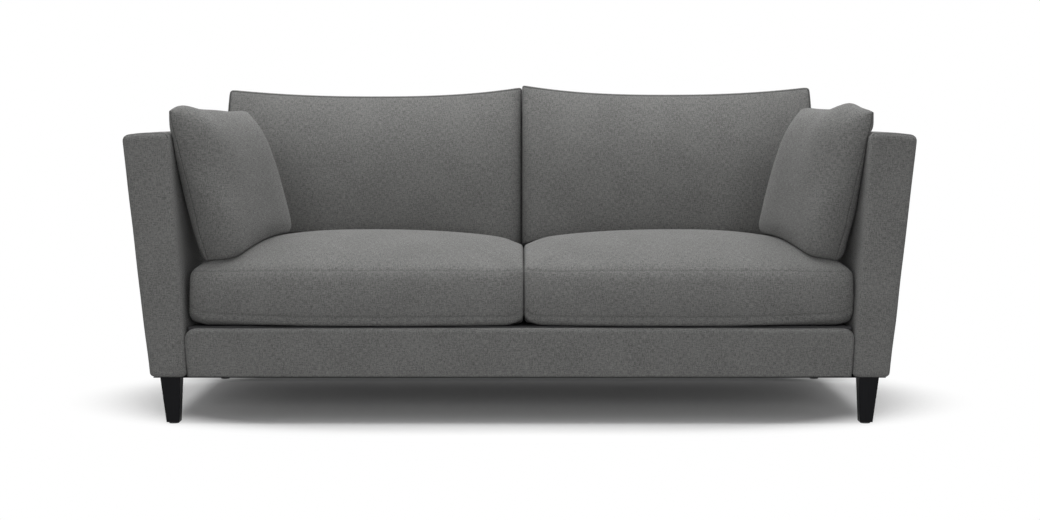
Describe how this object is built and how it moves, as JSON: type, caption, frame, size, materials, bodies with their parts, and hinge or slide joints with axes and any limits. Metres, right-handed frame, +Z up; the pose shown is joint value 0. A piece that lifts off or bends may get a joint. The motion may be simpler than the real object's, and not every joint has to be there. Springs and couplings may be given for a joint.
{
  "type": "sofa",
  "caption": "Upholstered sofa with splayed flat arms, loose crowned seat and back cushions, scatter cushions against the arms and short tapered wooden legs.",
  "frame": {"origin": "on the floor under the middle of the sofa's outline", "axes": "+X along the width to the right seen from the front, -Y the way the sofa faces, +Z up"},
  "size_m": [2.0606, 0.938, 0.8942],
  "materials": {
    "upholstery": "woven",
    "foam": "matte",
    "platform_cloth": "woven",
    "dust_cloth": "matte",
    "webbing": "woven",
    "hardwood": "matte",
    "hardboard": "matte",
    "leg_wood": "satin",
    "spring_steel": "satin",
    "bolt_steel": "satin",
    "clip_plastic": "matte",
    "glide_plastic": "matte",
    "zip_tape": "woven",
    "zip_metal": "satin"
  },
  "bodies": {
    "frame": {"front_rail": "hardwood", "rear_rail": "hardwood", "side_rail_left": "hardwood", "side_rail_right": "hardwood", "centre_rail": "hardwood", "corner_blocks": "hardwood", "leg_blocks": "hardwood", "back_top_rail": "hardwood", "back_lower_rails": "hardwood", "back_uprights": "hardwood", "arm_front_post_left": "hardwood", "arm_front_post_right": "hardwood", "arm_rear_post_left": "hardwood", "arm_rear_post_right": "hardwood", "arm_top_rail_left": "hardwood", "arm_top_rail_right": "hardwood", "arm_bottom_rail_left": "hardwood", "arm_bottom_rail_right": "hardwood", "arm_boards_left": "hardboard", "arm_boards_right": "hardboard", "arm_cover_left": "upholstery", "arm_cover_right": "upholstery", "front_border": "upholstery", "back_cover": "upholstery", "outside_back_panel": "upholstery", "seat_platform": "platform_cloth", "dust_cover": "dust_cloth", "back_webbing": "webbing", "seat_springs": "spring_steel", "spring_tie_wires": "spring_steel", "leg_bolts": "bolt_steel", "leg_t_nuts": "bolt_steel", "arm_bolts": "bolt_steel", "spring_clips": "clip_plastic", "leg_glides": "glide_plastic", "leg_front_left": "leg_wood", "leg_front_right": "leg_wood", "leg_rear_left": "leg_wood", "leg_rear_right": "leg_wood"},
    "seat_cushion_left": {"seat_cushion_cover_left": "upholstery", "seat_cushion_core_left": "foam", "seat_zip_left": "zip_tape"},
    "back_cushion_left": {"back_cushion_cover_left": "upholstery", "back_cushion_core_left": "foam", "back_zip_left": "zip_tape"},
    "scatter_cushion_left": {"scatter_cover_left": "upholstery", "scatter_core_left": "foam"},
    "seat_zip_slider_left": {"seat_zip_slider_left": "zip_metal"},
    "back_zip_slider_left": {"back_zip_slider_left": "zip_metal"},
    "seat_cushion_right": {"seat_cushion_cover_right": "upholstery", "seat_cushion_core_right": "foam", "seat_zip_right": "zip_tape"},
    "back_cushion_right": {"back_cushion_cover_right": "upholstery", "back_cushion_core_right": "foam", "back_zip_right": "zip_tape"},
    "scatter_cushion_right": {"scatter_cover_right": "upholstery", "scatter_core_right": "foam"},
    "seat_zip_slider_right": {"seat_zip_slider_right": "zip_metal"},
    "back_zip_slider_right": {"back_zip_slider_right": "zip_metal"}
  },
  "joints": [
    {"name": "seat_cushion_left_slide", "type": "slide", "parent": "frame", "child": "seat_cushion_left", "axis": [0, -0.999, 0.0436], "range_m": [0, 0.85]},
    {"name": "back_cushion_left_slide", "type": "slide", "parent": "frame", "child": "back_cushion_left", "axis": [0, 0.1238, 0.9923], "range_m": [0, 0.5]},
    {"name": "scatter_cushion_left_lift", "type": "slide", "parent": "seat_cushion_left", "child": "scatter_cushion_left", "axis": [0, 0, 1], "range_m": [0, 0.5]},
    {"name": "seat_zip_left", "type": "slide", "parent": "seat_cushion_left", "child": "seat_zip_slider_left", "axis": [1, 0, 0], "range_m": [0, 0.568]},
    {"name": "back_zip_left", "type": "slide", "parent": "back_cushion_left", "child": "back_zip_slider_left", "axis": [1, 0, 0], "range_m": [0, 0.568]},
    {"name": "seat_cushion_right_slide", "type": "slide", "parent": "frame", "child": "seat_cushion_right", "axis": [0, -0.999, 0.0436], "range_m": [0, 0.85]},
    {"name": "back_cushion_right_slide", "type": "slide", "parent": "frame", "child": "back_cushion_right", "axis": [0, 0.1238, 0.9923], "range_m": [0, 0.5]},
    {"name": "scatter_cushion_right_lift", "type": "slide", "parent": "seat_cushion_right", "child": "scatter_cushion_right", "axis": [0, 0, 1], "range_m": [0, 0.5]},
    {"name": "seat_zip_right", "type": "slide", "parent": "seat_cushion_right", "child": "seat_zip_slider_right", "axis": [-1, 0, 0], "range_m": [0, 0.568]},
    {"name": "back_zip_right", "type": "slide", "parent": "back_cushion_right", "child": "back_zip_slider_right", "axis": [-1, 0, 0], "range_m": [0, 0.568]}
  ]
}
